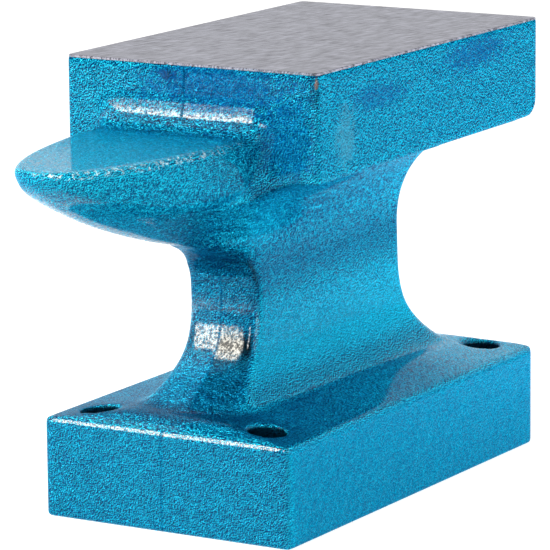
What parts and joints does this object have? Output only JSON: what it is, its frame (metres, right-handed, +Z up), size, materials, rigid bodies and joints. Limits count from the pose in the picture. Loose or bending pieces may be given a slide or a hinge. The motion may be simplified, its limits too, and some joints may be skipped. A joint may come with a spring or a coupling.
{
  "type": "bench anvil",
  "caption": "Small cast bench anvil with a flat ground table, a short blunt horn, a slim flared waist and a thick base that bolts down at its corners.",
  "frame": {"origin": "middle of the base's underside, which rests on the bench", "axes": "+X along the anvil towards the tip of the horn, +Z up out of the working face, +Y across the anvil to complete a right-handed frame"},
  "size_m": [0.1774, 0.071, 0.1131],
  "materials": {
    "blue_paint": "cast iron under glossy metallic blue hammered paint, slightly rough like orange peel",
    "ground_face": "bare ground metal with fine lengthways grinding lines"
  },
  "bodies": {
    "root": {"base": "blue_paint", "waist": "blue_paint", "table": "blue_paint", "horn": "blue_paint", "face": "ground_face"}
  },
  "joints": []
}
